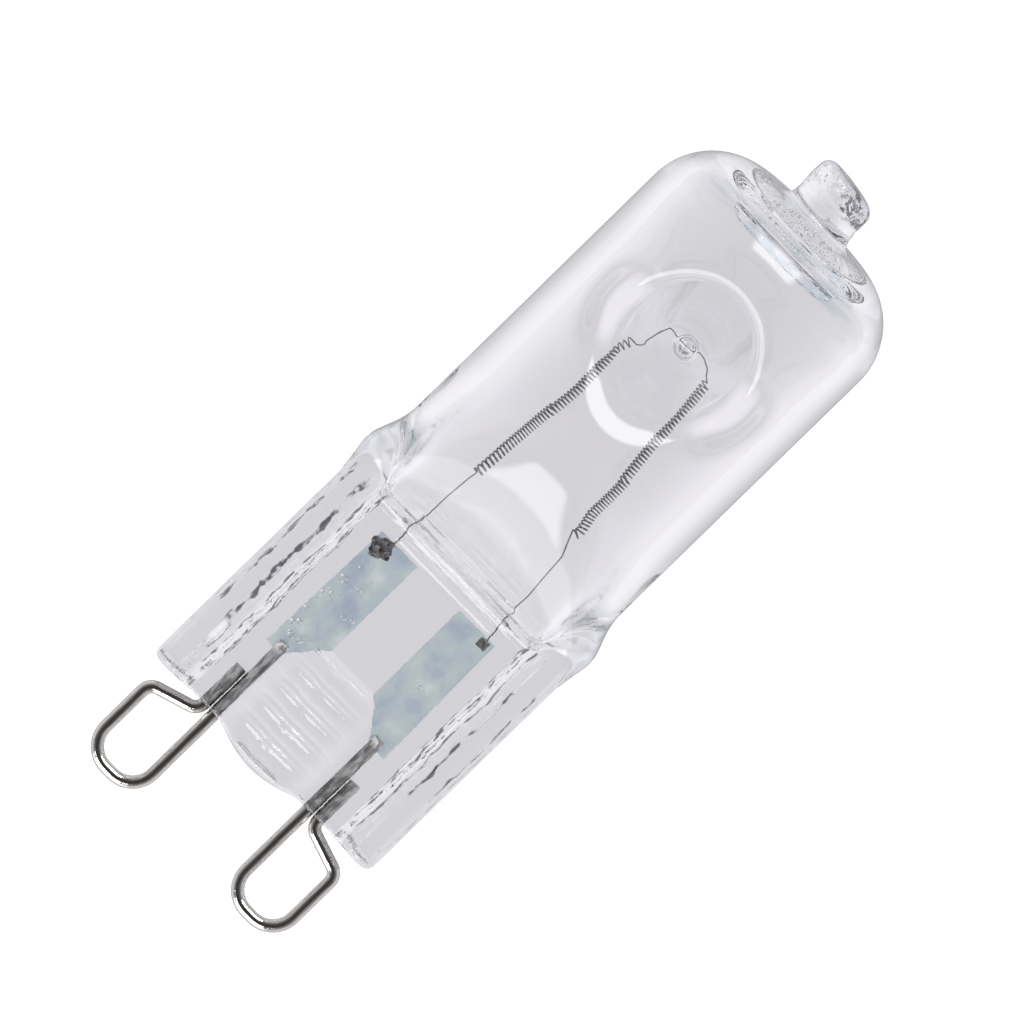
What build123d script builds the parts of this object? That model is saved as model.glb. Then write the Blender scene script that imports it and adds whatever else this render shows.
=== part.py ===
"""Clear capsule lamp with two bent wire pins.

Millimetres, +Z along the lamp's axis towards the sealed-off tip, Z = 0 at the lower end of the press seal.
X runs across the press seal from pin to pin, and Y runs through its thickness.
"""
import os
from math import copysign, cos, pi, sin

from build123d import *

# Tube and domed end
tube_diameter = 13.0
tube_wall = 1.0
tube_length = 14.6
dome_corner = 3.5
tip_diameter = 3.3
tip_length = 2.6
tip_edge = 0.6
tip_neck = 0.5
dome_wall = 1.2
dome_inner_corner = 1.8
plug_gap = 2.5
plug_drop = 1.1
plug_round = 0.4

# Shoulder between the round tube and the flat press seal
shoulder_foot = 12.2
shoulder_length = 7.8
ear_swell = 0.42
shoulder_tuck = 0.15
ear_reach = 0.75
shoulder_squareness = 4.0
cavity_squareness = 2.0
shoulder_sections = 5
section_points = 20
cavity_floor_rise = 0.7
cavity_floor_width = 8.4
cavity_floor_depth = 0.7

# Press seal: two rails joined by a web, with a ribbed tongue between the pins
seal_width = 13.7
seal_depth = 4.6
rail_overlap = 1.5
web_depth = 2.6
rail_land = 1.25
rail_slope = 0.8
rail_round = 0.7
rail_end_bevel = 0.25
tongue_pin_gap = 0.25
tongue_top = 5.2
tongue_drop = 0.6
tongue_rise = 0.45
tongue_taper = 25.0
rib_count = 4
rib_pitch = 1.1
rib_first = 0.75
rib_radius = 0.5
rib_proud = 0.2

# Dents pressed in from both faces and fused round the filament
dent_below_dome = 8.0
dent_mouth = 7.8
dent_tip = 0.6
dent_half_gap = 0.5
dent_wall = 0.8
dent_lip = 0.85

# Pins: one bent wire each
wire_diameter = 0.6
wire_clearance = 0.03
pin_spacing = 9.0
loop_width = 3.0
loop_drop = 5.35
loop_bend = 1.3
short_leg_gap = 0.05
neck_inner_drop = 0.55
neck_outer_drop = 1.3
neck_bend = 0.6
long_leg_lap = 0.5
short_leg_end = 2.25

# Foils and weld tabs inside the press seal
foil_thickness = 0.06
foil_inner = 1.35
foil_width = 2.25
foil_flare = 0.15
foil_length = 7.15
foil_below_shoulder = 1.15
foil_foot_width = 0.95
foil_corner_cut = 1.7
tab_thickness = 0.08
left_tab_width = 1.1
left_tab_height = 0.9
left_tab_place = 3.1
right_tab_width = 0.5
right_tab_height = 0.45
right_tab_place = 3.15
tab_top_margin = 0.1

# Filament
filament_diameter = 0.12
filament_clearance = 0.02
coil_diameter = 0.6
coil_pitch = 0.5
turn_facets = 6
bend_facets = 8
wire_facets = 4
left_coil_foot_side = 2.68
left_coil_foot_rise = 3.0
left_coil_head_side = 2.2
left_coil_head_drop = 2.3
right_coil_foot_side = 2.72
right_coil_foot_rise = 3.9
right_coil_head_side = 2.06
right_coil_head_drop = 0.7
leg_lead = 0.6

# Values worked out from the sizes above
tube_radius = tube_diameter / 2
bore_radius = tube_radius - tube_wall
shoulder_top = shoulder_foot + shoulder_length
dome_top = shoulder_top + tube_length
tip_top = dome_top + tip_length
dent_height = dome_top - dent_below_dome
cavity_floor = shoulder_foot + cavity_floor_rise
seal_height = shoulder_foot + rail_overlap
rail_crest = seal_width / 2 - rail_land
foil_top = shoulder_foot - foil_below_shoulder
foil_bottom = foil_top - foil_length
long_leg_end = foil_bottom + long_leg_lap
wire_radius = wire_diameter / 2
filament_radius = filament_diameter / 2
long_leg = pin_spacing / 2 - loop_width / 2
outer_leg = pin_spacing / 2 + loop_width / 2
short_leg = long_leg + wire_diameter + short_leg_gap
tongue_width = 2 * (long_leg - wire_radius - tongue_pin_gap)
foil_front = wire_radius
tab_front = foil_front - tab_thickness
leg_depth = tab_front - filament_radius
dome_under = dome_top - dome_wall
plug_radius = bore_radius - plug_gap
open_reach = tube_radius + tube_wall
dent_slope = (dent_mouth - dent_tip) / 2 / (tube_radius - dent_half_gap)
open_mouth = dent_tip / 2 + dent_slope * (open_reach - dent_half_gap)
neck_radius = dent_tip / 2 + dent_wall - dent_slope * dent_half_gap
neck_mouth = neck_radius + dent_slope * open_reach

os.makedirs("parts", exist_ok=True)


def ease(share):
    """Smooth step from 0 to 1."""
    held = min(max(share, 0.0), 1.0)
    return held * held * (3 - 2 * held)


def seam_plane(height):
    """Plane across the lamp whose X runs through the press seal's thickness, where seams don't show."""
    return Plane((0, 0, height), x_dir=(0, 1, 0), z_dir=(0, 0, 1))


def rounded_section(height, half_width, half_depth, power):
    """Face across the lamp: an ellipse that squares up as its power grows."""
    points = []
    for step in range(section_points):
        angle = 2 * pi * step / section_points
        through = copysign(abs(cos(angle)) ** (2 / power), cos(angle))
        across = copysign(abs(sin(angle)) ** (2 / power), sin(angle))
        points.append((half_depth * through, half_width * across))
    with BuildSketch(seam_plane(height)) as section:
        with BuildLine():
            Spline(*points, periodic=True)
        make_face()
    return section.sketch


def round_section(height, radius):
    """Circular face across the lamp."""
    with BuildSketch(seam_plane(height)) as section:
        Circle(radius)
    return section.sketch


def shoulder_faces():
    """Outside of the shoulder, from the press seal's web up to the round tube."""
    faces = []
    for step in range(shoulder_sections):
        share = step / shoulder_sections
        rise = min(share / ear_reach, 1.0)
        spread = (seal_width / 2 - shoulder_tuck - tube_radius) * (1 - ease(rise))
        ear = ear_swell * sin(pi * rise**0.5) ** 2
        depth = web_depth / 2 + (tube_radius - web_depth / 2) * sin(pi / 2 * share)
        power = 2 + shoulder_squareness * (1 - share) ** 2
        height = shoulder_foot + shoulder_length * share
        faces.append(rounded_section(height, tube_radius + spread + ear, depth, power))
    faces.append(round_section(shoulder_top, tube_radius))
    return faces


def cavity_faces():
    """Inside of the shoulder, from the flattened cavity floor up to the bore."""
    faces = []
    low_width = cavity_floor_width / 2
    low_depth = cavity_floor_depth / 2
    for step in range(shoulder_sections):
        share = step / shoulder_sections
        width = low_width + (bore_radius - low_width) * sin(pi / 2 * share)
        depth = low_depth + (bore_radius - low_depth) * sin(pi / 2 * share)
        power = 2 + cavity_squareness * (1 - share) ** 2
        height = cavity_floor + (shoulder_top - cavity_floor) * share
        faces.append(rounded_section(height, width, depth, power))
    faces.append(round_section(shoulder_top, bore_radius))
    return faces


def dent_cutter(side, tip_radius, tip_depth, mouth_radius):
    """Cone about Y at the dents' height, from its tip near the lamp's axis to its mouth outside the tube."""
    with BuildPart() as cutter:
        with BuildSketch(Plane((0, 0, dent_height), x_dir=(side, 0, 0), z_dir=(0, 0, 1))):
            with BuildLine():
                Polyline(
                    (0, tip_depth), (tip_radius, tip_depth), (mouth_radius, open_reach), (0, open_reach),
                    close=True,
                )
            make_face()
        revolve(axis=Axis((0, 0, dent_height), (0, side, 0)))
    return cutter.part


def dent_rims(builder):
    """Edges where the dents meet the tube's wall."""
    near = builder.edges().filter_by(lambda edge: abs(edge.center().Z - dent_height) < dent_half_gap)
    return near.filter_by(lambda edge: edge.length > 2 * dent_mouth)


def pin_path(side):
    """Centre line of a pin: long leg, loop, swan-neck and short leg."""
    return [
        (side * long_leg, 0, long_leg_end),
        (side * long_leg, 0, -loop_drop),
        (side * outer_leg, 0, -loop_drop),
        (side * outer_leg, 0, -neck_outer_drop),
        (side * short_leg, 0, -neck_inner_drop),
        (side * short_leg, 0, short_leg_end),
    ]


def foil_outline(side):
    """Corners of a foil, whose inner lower corner is cut away."""
    outer = foil_inner + foil_width
    return [
        (side * foil_inner, foil_top),
        (side * outer, foil_top),
        (side * (outer + foil_flare), foil_bottom),
        (side * (outer + foil_flare - foil_foot_width), foil_bottom),
        (side * foil_inner, foil_bottom + foil_corner_cut),
    ]


# Solid outside of the lamp
with BuildPart() as outside:
    with BuildSketch(Plane.XZ):
        with BuildLine():
            FilletPolyline(
                (0, shoulder_top),
                (tube_radius, shoulder_top),
                (tube_radius, dome_top),
                (tip_diameter / 2, dome_top),
                (tip_diameter / 2, tip_top),
                (0, tip_top),
                radius=[0, 0, dome_corner, tip_neck, tip_edge, 0],
                close=True,
            )
        make_face()
    revolve(axis=Axis.Z)
    loft(shoulder_faces())
    for side in (-1, 1):
        add(dent_cutter(side, dent_tip / 2, dent_half_gap, open_mouth), mode=Mode.SUBTRACT)
    fillet(dent_rims(outside), dent_lip)

# Press seal with its rails, and the ribbed tongue between the pins
with BuildPart() as press_seal:
    with BuildSketch(Plane.XY) as seal_section:
        with BuildLine():
            rail_half = [
                (rail_crest - rail_slope, web_depth / 2),
                (rail_crest, seal_depth / 2),
                (seal_width / 2, seal_depth / 2),
            ]
            corners = rail_half + [(x, -y) for x, y in reversed(rail_half)]
            corners += [(-x, -y) for x, y in rail_half] + [(-x, y) for x, y in reversed(rail_half)]
            Polyline(*corners, close=True)
        make_face()
        fillet(seal_section.vertices(), rail_round)
    extrude(amount=seal_height)
    chamfer(press_seal.faces().sort_by(Axis.Z)[0].edges(), rail_end_bevel)

with BuildPart() as tongue:
    with BuildSketch(Plane.XZ) as tongue_face:
        with BuildLine():
            Polyline(
                (tongue_width / 2, 0), (tongue_width / 2, tongue_top),
                (-tongue_width / 2, tongue_top), (-tongue_width / 2, 0),
            )
            ThreePointArc((-tongue_width / 2, 0), (0, -tongue_drop), (tongue_width / 2, 0))
        make_face()
    extrude(amount=web_depth / 2, both=True)
    for face_plane in (Plane.XZ.offset(web_depth / 2), Plane.XZ.offset(-web_depth / 2)):
        outward = copysign(tongue_rise, face_plane.origin.Y * face_plane.z_dir.Y)
        with BuildSketch(face_plane):
            add(tongue_face.sketch_local)
        extrude(amount=outward, taper=tongue_taper)
    rib_depth = web_depth / 2 + tongue_rise + rib_proud - rib_radius
    rib_length = tongue_width - 2 * tongue_rise - 2 * rib_radius
    rib_spots = [
        (0, side * rib_depth, rib_first + rib_pitch * step) for side in (-1, 1) for step in range(rib_count)
    ]
    with Locations(*rib_spots):
        Cylinder(rib_radius, rib_length, rotation=(0, 90, 0))

# Hollow of the lamp, with the dents' glass left standing in it
with BuildPart() as hollow:
    with BuildSketch(Plane.XZ):
        with BuildLine():
            FilletPolyline(
                (0, shoulder_top),
                (bore_radius, shoulder_top),
                (bore_radius, dome_under),
                (plug_radius, dome_under),
                (plug_radius - plug_drop, dome_under - plug_drop),
                (0, dome_under - plug_drop),
                radius=[0, 0, dome_inner_corner, plug_round, plug_round, 0],
                close=True,
            )
        make_face()
    revolve(axis=Axis.Z)
    loft(cavity_faces())
    for side in (-1, 1):
        add(dent_cutter(side, neck_radius, 0, neck_mouth), mode=Mode.SUBTRACT)

# Pins: straight runs and bends joined end to end
pins = {}
for name, side in (("pin_loop_left", -1), ("pin_loop_right", 1)):
    with BuildPart() as pin:
        with BuildLine() as centre_line:
            FilletPolyline(*pin_path(side), radius=[loop_bend, loop_bend, neck_bend, neck_bend])
        for run in centre_line.edges():
            with BuildSketch(Plane(run @ 0, x_dir=(0, 1, 0), z_dir=run % 0)):
                Circle(wire_radius)
            if run.geom_type == GeomType.LINE:
                extrude(amount=run.length)
            else:
                turn = (run % 0).cross(run % 1)
                revolve(axis=Axis(run.arc_center, turn), revolution_arc=(run % 0).get_angle(run % 1))
    pins[name] = pin

# Foils and weld tabs
foils = {}
for name, side in (("foil_left", -1), ("foil_right", 1)):
    with BuildPart() as foil:
        with BuildSketch(Plane.XZ.offset(-foil_front)):
            with BuildLine():
                Polyline(*foil_outline(side), close=True)
            make_face()
        extrude(amount=-foil_thickness)
    foils[name] = foil

tabs = {}
for name, centre, width, height in (
    ("weld_tab_left", -left_tab_place, left_tab_width, left_tab_height),
    ("weld_tab_right", right_tab_place, right_tab_width, right_tab_height),
):
    with BuildPart() as tab:
        with Locations((centre, tab_front + tab_thickness / 2, foil_top - tab_top_margin - height / 2)):
            Box(width, tab_thickness, height)
    tabs[name] = tab


def coil_line(side, foot, head):
    """Helix of a coil from its foot to its head, starting towards the lamp's middle."""
    along = Vector(head[0] - foot[0], 0, head[1] - foot[1])
    frame = Plane((foot[0], 0, foot[1]), x_dir=(0, side, 0), z_dir=along)
    turns = round(along.length / coil_pitch)
    helix = Edge.make_helix(along.length / turns, along.length, turn_radius)
    return frame.location * helix, turns


def leg_line(place, tab_height, helix):
    """Edges of a leg, from its weld on the tab up to the coil."""
    weld = Vector(place, leg_depth, leg_foot - tab_height / 2)
    bend = Vector(place, leg_depth, cavity_floor)
    return Edge.make_line(weld, bend), Edge.make_spline([bend, helix @ 0], tangents=[(0, 0, 1), helix % 0])


def wire_planes(runs):
    """Planes along a chain of edges, each turned as little as possible from the last."""
    planes = []
    across = Vector(0, 1, 0)
    for edge, steps, forward in runs:
        for step in range(steps + 1):
            share = step / steps if forward else 1 - step / steps
            heading = edge % share if forward else -(edge % share)
            if planes and (edge @ share - planes[-1].origin).length < filament_clearance:
                continue
            across = (across - heading * across.dot(heading)).normalized()
            planes.append(Plane(edge @ share, x_dir=across, z_dir=heading))
    return planes


# Filament: legs, coils and the middle stretch as one faceted wire
turn_radius = (coil_diameter - filament_diameter) / 2
leg_foot = foil_top - tab_top_margin
middle_reach = neck_radius + leg_lead
left_coil, left_turns = coil_line(
    -1,
    (-left_coil_foot_side, cavity_floor + left_coil_foot_rise),
    (-left_coil_head_side, dent_height - left_coil_head_drop),
)
right_coil, right_turns = coil_line(
    1,
    (right_coil_foot_side, cavity_floor + right_coil_foot_rise),
    (right_coil_head_side, dent_height - right_coil_head_drop),
)
left_leg = leg_line(-left_tab_place, left_tab_height, left_coil)
right_leg = leg_line(right_tab_place, right_tab_height, right_coil)
left_hold = Vector(-middle_reach, 0, dent_height)
right_hold = Vector(middle_reach, 0, dent_height)
filament_runs = [
    (left_leg[0], 1, True),
    (left_leg[1], bend_facets, True),
    (left_coil, left_turns * turn_facets, True),
    (Edge.make_spline([left_coil @ 1, left_hold], tangents=[(1, 0, 1), (1, 0, 0)]), bend_facets, True),
    (Edge.make_line(left_hold, right_hold), 1, True),
    (Edge.make_spline([right_hold, right_coil @ 1], tangents=[(1, 0, 0), (0, 0, -1)]), bend_facets, True),
    (right_coil, right_turns * turn_facets, False),
    (right_leg[1], bend_facets, False),
    (right_leg[0], 1, False),
]
with BuildPart() as filament:
    filament_sections = []
    for plane in wire_planes(filament_runs):
        with BuildSketch(plane, mode=Mode.PRIVATE) as wire_section:
            RegularPolygon(filament_radius, wire_facets)
        filament_sections.append(wire_section.sketch)
    loft(filament_sections, ruled=True, clean=False)

# Glass envelope: the outside less its hollow, dents and the pockets round the metal
with BuildPart() as glass_envelope:
    add(outside.part)
    add(press_seal.part)
    add(tongue.part)
    add(hollow.part, mode=Mode.SUBTRACT)
    for side in (-1, 1):
        for leg, top in ((long_leg, long_leg_end), (short_leg, short_leg_end)):
            with Locations((side * leg, 0, -tongue_drop)):
                Cylinder(
                    wire_radius + wire_clearance, top + tongue_drop,
                    align=(Align.CENTER, Align.CENTER, Align.MIN), mode=Mode.SUBTRACT,
                )
    for piece in list(foils.values()) + list(tabs.values()):
        add(piece.part, mode=Mode.SUBTRACT)
    for place, height in ((-left_tab_place, left_tab_height), (right_tab_place, right_tab_height)):
        low = leg_foot - height / 2
        with Locations((place, leg_depth, low)):
            Cylinder(
                filament_radius + filament_clearance, cavity_floor - low + filament_diameter,
                align=(Align.CENTER, Align.CENTER, Align.MIN), mode=Mode.SUBTRACT,
            )
    with Locations((0, 0, dent_height)):
        Cylinder(filament_radius, 2 * middle_reach, rotation=(0, 90, 0), mode=Mode.SUBTRACT)

pieces = {"glass_envelope": glass_envelope, "filament": filament, **pins, **foils, **tabs}
for name, piece in pieces.items():
    piece.part.label = name
    export_step(piece.part, f"parts/{name}.step")
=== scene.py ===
"""Looks of the clear capsule lamp: glass, metal, light and camera.

Lengths in the shape functions are millimetres in the part's frame, and meshes are made in metres.
"""
import math

import bpy
import numpy as np
from mathutils import Matrix, Vector


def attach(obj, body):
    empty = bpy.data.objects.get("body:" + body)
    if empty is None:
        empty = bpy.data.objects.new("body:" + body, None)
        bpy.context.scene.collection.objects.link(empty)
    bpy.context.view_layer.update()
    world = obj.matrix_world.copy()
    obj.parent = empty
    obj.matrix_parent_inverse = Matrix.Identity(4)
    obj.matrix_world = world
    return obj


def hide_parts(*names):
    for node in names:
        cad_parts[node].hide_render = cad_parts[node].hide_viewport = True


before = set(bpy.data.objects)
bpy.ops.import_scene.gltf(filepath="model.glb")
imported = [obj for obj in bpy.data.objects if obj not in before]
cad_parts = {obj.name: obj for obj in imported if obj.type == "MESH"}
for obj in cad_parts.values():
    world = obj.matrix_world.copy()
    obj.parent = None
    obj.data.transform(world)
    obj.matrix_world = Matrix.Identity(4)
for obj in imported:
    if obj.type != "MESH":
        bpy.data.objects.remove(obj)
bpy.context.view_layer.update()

MM = 0.001
NEVER_ZERO = 1e-6
LEAST_RATIO = 1e-9

# Tube, dome, plug and sealed-off tip
TUBE_RADIUS = 6.5
BORE_RADIUS = 5.5
DOME_TOP = 34.6
DOME_CORNER = 3.6
DOME_INNER_TOP = 33.4
DOME_INNER_CORNER = 1.8
PLUG_RADIUS = 3.0
PLUG_DROP = 1.1
PLUG_CORNER = 0.66
PLUG_BLEND = 0.5
TIP_RADIUS = 1.65
TIP_TOP = 37.2
TIP_ROOT = 3.0
TIP_ROUND = 0.6
TIP_SLANT = 0.45
TIP_BULGE = 0.07
TIP_WAVES = 2.2
TIP_WAVE_SHIFT = 0.4
TIP_BLEND = 0.6

# Shoulder, ears and the hollow's foot
SHOULDER_FOOT = 12.2
SHOULDER_TOP = 20.0
SHOULDER_TUCK = 0.15
SHOULDER_SQUARENESS = 4.0
EAR_SWELL = 0.44
EAR_REACH = 0.5
EAR_HEIGHT = 13.7
EAR_SPAN = 1.2
CAVITY_FLOOR = 12.9
CAVITY_HALF_WIDTH = 4.9
CAVITY_HALF_DEPTH = 0.35
CAVITY_ROUND = 0.5
CAVITY_SQUARENESS = 2.0

# Press seal: web, rails and tongue
SEAL_HALF_WIDTH = 6.85
SEAL_HALF_DEPTH = 2.3
SEAL_TOP = 13.7
SEAL_BLEND = 0.5
WEB_HALF_DEPTH = 1.3
WEB_INSET = 0.3
WEB_ROUND = 0.15
RAIL_FOOT = 4.8
RAIL_SLOPE = 0.8
RAIL_WANDER = 0.06
RAIL_WAVES = 1.9
RAIL_LEFT_SHIFT = 0.7
RAIL_RIGHT_SHIFT = 2.1
RAIL_BACK_SHIFT = 4.0
RAIL_ROUND = 0.9
RAIL_INNER_ROUND = 0.35
RAIL_END_ROUND = 0.4
RAIL_BLEND = 0.25
TONGUE_HALF_WIDTH = 2.45
TONGUE_SHIFT = -0.2
TONGUE_TOP = 5.2
TONGUE_DROP = 0.6
TONGUE_RISE = 0.24
TONGUE_FADE = 0.8
TONGUE_FADE_START = 1.5
TONGUE_FADE_LENGTH = 4.0
TONGUE_ROUND = 1.3
TONGUE_TOP_ROUND = 0.4
TONGUE_DROP_ROUND = 0.7
TONGUE_BLEND = 0.5
RIB_PITCH = 1.1
RIB_START = 0.9
RIB_DEPTH = 0.13
RIB_WAVER = 0.6
RIB_WAVES = (0.9, 1.0)
RIB_SHARPNESS = 4

# Dents pressed in from both sides, and the walls round them
DENT_HEIGHT = 26.6
DENT_TIP = 0.3
DENT_MOUTH = 3.9
DENT_HALF_GAP = 0.4
DENT_WALL = 0.5
DENT_LIP_TOP = 0.35
DENT_LIP_BOTTOM = 2.2
DENT_NOSE = 1.6
DENT_MIDDLE = 0.1
INNER_LIP_SHARE = 0.85
FUSED_RADIUS = 0.6
FUSED_REACH = 1.5
FUSED_BLEND = 0.3
FAR_INSIDE = -9.0
FRONT_THINNING = 0.32
THIN_HALF_WIDTH = 2.6
THIN_SIDE_FADE = 3.6
THIN_LOW = 15.0
THIN_LOW_FADE = 6.0
THIN_HIGH = 28.0
THIN_HIGH_FADE = 5.0

# Thicker ring in the wall at the dent's sides; its ends are shares of the way from the top down
RIM_SWELL = 0.25
RIM_RADIUS = 3.9
RIM_WIDTH = 0.45
RIM_START = 0.21
RIM_START_FADE = 0.24
RIM_END = 0.88
RIM_END_FADE = 0.17

# Uneven waves: rate, shift and strength
WAVES = ((1.0, 1.0, 1.0), (2.3, 1.7, 0.7), (5.1, 2.9, 0.5))

# Glass mesh: its box, cells and how its points settle on the field
GLASS_LOW = (-7.7, -7.1, -1.3)
GLASS_HIGH = (7.7, 7.1, 37.9)
GLASS_CELL = (0.17, 0.17, 0.22)
SLOPE_STEP = 0.02
SLOPE_FLOOR = 0.05
SETTLE_ROUNDS = 3
SETTLE_LIMIT = 0.1

# Bubbles in the glass: two placed ones as centre and half sizes, and a cloud over the left foil
BUBBLE_TURNS = 12
BUBBLE_LEVELS = 9
RAIL_BUBBLE = ((-5.62, -1.3, 2.7), (0.22, 0.3, 0.8))
RIGHT_BUBBLE = ((2.55, -0.5, 7.4), (0.09, 0.09, 0.1))
BUBBLE_SEED = 11
BUBBLE_COUNT = 26
BUBBLE_ACROSS = (-3.6, -1.6)
BUBBLE_DEPTH = (-0.9, -0.1)
BUBBLE_LOW = 4.6
BUBBLE_RISE = 4.9
BUBBLE_SIZE = (0.05, 0.13)
BUBBLE_STRETCH = (1.0, 1.8)

# Crumpled weld tab
TAB_CELLS = 12
TAB_CENTRE = (-3.08, 0.24, 10.48)
TAB_HALF = (0.5, 0.03, 0.46)
TAB_TURN = math.radians(25)
TAB_CRUMPLE = 0.035
TAB_RAGGED = 0.12
TAB_EDGE_WAVES = (2.0, 0.5)
TAB_FOLD_WAVES = (2.1, 0.3)
TAB_CROSS_WAVES = (1.7, 2.0)

# Filament
COIL_RADIUS = 0.23
COIL_PITCH = 0.18
COIL_STEPS = 14
COIL_LINE_GAP = 0.02
COIL_LINE_ROUNDS = 40
LEFT_OPEN_PITCH = 0.32
LEFT_OPEN_LENGTH = 1.0
RIGHT_OPEN_PITCH = 0.26
RIGHT_OPEN_LENGTH = 0.8
FILAMENT_RADIUS = 0.036
FILAMENT_SIDES = 6
FILAMENT_SIDEWAYS = (0.3, 1.0, 0.2)
FILAMENT_GAP = 0.08
LEG_ROUNDS = 2
MIDDLE_ROUNDS = 1

# Glass looks
GLASS_COLOUR = (0.975, 0.972, 0.986)
TINT_COLOUR = (0.58, 0.71, 0.79)
# Dark of the tip's flecks, and the painted shade of the rail streaks
MARK_AND_SHADE_COLOUR = (0.04, 0.045, 0.06)
GLASS_IOR = 1.46
GLASS_BOUNCES = 16

# Where the glass's looks lie, in millimetres: edges from 0 to 1, and bands as low, high and fade
SEAL_EDGE = (13.2, 12.4)
RAIL_BAND = (4.75, 5.6, 0.1)
WEB_BAND = (0.0, 4.8, 0.4)
TIP_EDGE = (35.3, 36.2)
PLUG_BAND = (31.9, 33.0, 0.15)
PLUG_EDGE = (3.0, 2.7)
TUBE_EDGE = (13.0, 16.0)
CREASE_BAND = (11.5, 13.0, 0.2)
CREASE_ACROSS = (0.0, 2.7, 0.7)
PLUG_TINT_BAND = (31.9, 32.9, 0.15)
PLUG_TINT_EDGE = (3.2, 2.9)
RIM_TINT_BAND = (32.9, 34.0, 0.3)
RIM_TINT_EDGE = (3.4, 4.4)
FUSED_ACROSS = (0.0, 0.55, 0.1)
FUSED_BAND = (26.1, 27.2, 0.1)
FUSED_DEPTH = (-0.9, 0.9, 0.1)
EAR_EDGE = (6.0, 6.6)
EAR_BAND = (13.0, 15.6, 0.7)
TIP_MARK_EDGE = (35.5, 36.0)
TIP_MARK_SIDE = (-0.6, 0.4)

# Grains of the glass: features per millimetre along each axis, detail and shift
RAIL_GRAIN = ((2.4, 1.6, 0.25), 3.0)
WEB_GRAIN = ((5.0, 5.0, 5.0), 2.0)
LUMP_GRAIN = ((1.1, 1.1, 1.1), 3.0)
PLUG_GRAIN = ((1.6, 1.6, 1.6), 3.0)
TUBE_GRAIN = ((0.16, 0.16, 0.1), 1.0)
CREASE_GRAIN = ((0.3, 0.3, 3.5), 3.0)
RIM_GRAIN = ((0.35, 0.35, 0.9), 3.0, 2.0)
FLECK_GRAIN = ((1.3, 1.3, 1.3), 3.0, 7.0)

# Shares of a grain's range from which it shows
PLUG_TINT_CUT = (0.35, 0.6)
RIM_TINT_CUT = (0.45, 0.65)
FLECK_CUT = (0.53, 0.6)

# Heights of the glass's relief in millimetres
RAIL_RELIEF = 0.08
WEB_RELIEF = 0.014
TIP_RELIEF = 0.3
PLUG_RELIEF = 0.3
TUBE_RELIEF = 0.04
CREASE_RELIEF = 0.08

# Strengths of the glass's tints and marks, and of the painted shade in the rail streaks
TIP_MARK = 0.9
STREAK_SHADE = 0.9
PLUG_TINT = 1.3
RIM_TINT = 0.7
FUSED_TINT = 0.3
EAR_TINT = 0.4

# Painted shade: dark streaks up the rails that stand in for dark refractions along their rough lines; place
# across, half width, lower and upper end, pattern
RAIL_SHADE_STREAKS = (
    (-5.65, 0.16, 3.7, 12.1, 0), (-5.0, 0.06, 1.5, 12.3, 1), (-4.65, 0.05, 1.5, 12.3, 2),
    (4.7, 0.06, 1.5, 12.3, 2), (5.1, 0.05, 1.0, 12.3, 0), (5.65, 0.09, 4.0, 10.5, 1),
)
STREAK_SHIFTS = (5.0, 6.0, 7.0)
STREAK_DRIFT = 0.5
STREAK_FADE = 0.3
STREAK_EDGE = (-0.04, 0.03)
DRIFT_GRAIN = (0.5, 2.0, 1.0)
BREAK_RATE = 0.7
BREAK_DETAIL = 4.0
BREAK_CUT = (0.33, 0.62)
SPECKLE_GRAIN = ((3.0, 3.0, 1.6), 2.0)
SPECKLE_CUT = (0.36, 0.52)

# Metal looks
FOIL_COLOURS = (
    (0.32, (0.46, 0.55, 0.63)), (0.45, (0.57, 0.66, 0.70)), (0.57, (0.63, 0.72, 0.70)),
    (0.72, (0.8, 0.85, 0.89)),
)
FOIL_COLOUR = (0.6, 0.66, 0.66)
FOIL_ROUGHNESS = 0.3
FOIL_CLOUD = ((0.9, 0.9, 0.7), 3.0)
FOIL_GRAIN = ((2.5, 2.5, 1.5), 3.0)
FOIL_RELIEF = 0.05
NICKEL_COLOUR = (0.62, 0.6, 0.57)
NICKEL_COLOURS = (
    (0.0, NICKEL_COLOUR), (0.33, (0.2, 0.2, 0.2)), (0.67, (0.55, 0.54, 0.53)), (1.0, (0.95, 0.95, 0.95)),
)
NICKEL_MEAN_ROUGHNESS = 0.18
NICKEL_BURIED = (-0.3, 0.5)
NICKEL_WEAR = ((4.0, 4.0, 1.5), 3.0)
NICKEL_WEAR_CUT = (0.35, 0.65)
NICKEL_FRAYED = (3.4, 4.3)
NICKEL_TATTERS = ((3.0, 3.0, 2.0), 3.0, 5.0)
NICKEL_TATTERS_CUT = (0.42, 0.58)
NICKEL_SMEARS = (3.0, 3.0, 0.8)
NICKEL_SMEAR = 0.1
NICKEL_ROUGHNESS = 0.04
NICKEL_BURIED_ROUGHNESS = 0.3
NICKEL_GRAIN = ((5.0, 5.0, 1.2), 3.0)
NICKEL_RELIEF = 0.02
WELD_COLOUR = (0.2, 0.19, 0.19)
WELD_ROUGHNESS = 0.5
WELD_GRAIN = 4.5
WELD_COLOURS = ((0.36, (0.12, 0.115, 0.115)), (0.62, (0.5, 0.48, 0.47)))
WELD_RELIEF = 0.3
TUNGSTEN_COLOUR = (0.2, 0.2, 0.21)
TUNGSTEN_ROUGHNESS = 0.4
TUNGSTEN_GRAIN = 6.0
TUNGSTEN_COLOURS = ((0.35, (0.13, 0.13, 0.14)), (0.65, (0.27, 0.27, 0.28)))
TUNGSTEN_RELIEF = 0.01

# Camera, from the photograph
PIXELS_PER_MM = 22.385
FRAME_PIXELS = 1024
CAMERA_LENS = 600.0
CAMERA_SENSOR = 36.0
CAMERA_TILT = math.radians(6.5)
CAMERA_ROLL = math.radians(45.7)
CAMERA_TARGET = (-0.16, 0.0, 15.8)
CLIP_START = 0.01
CLIP_END = 20.0

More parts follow.
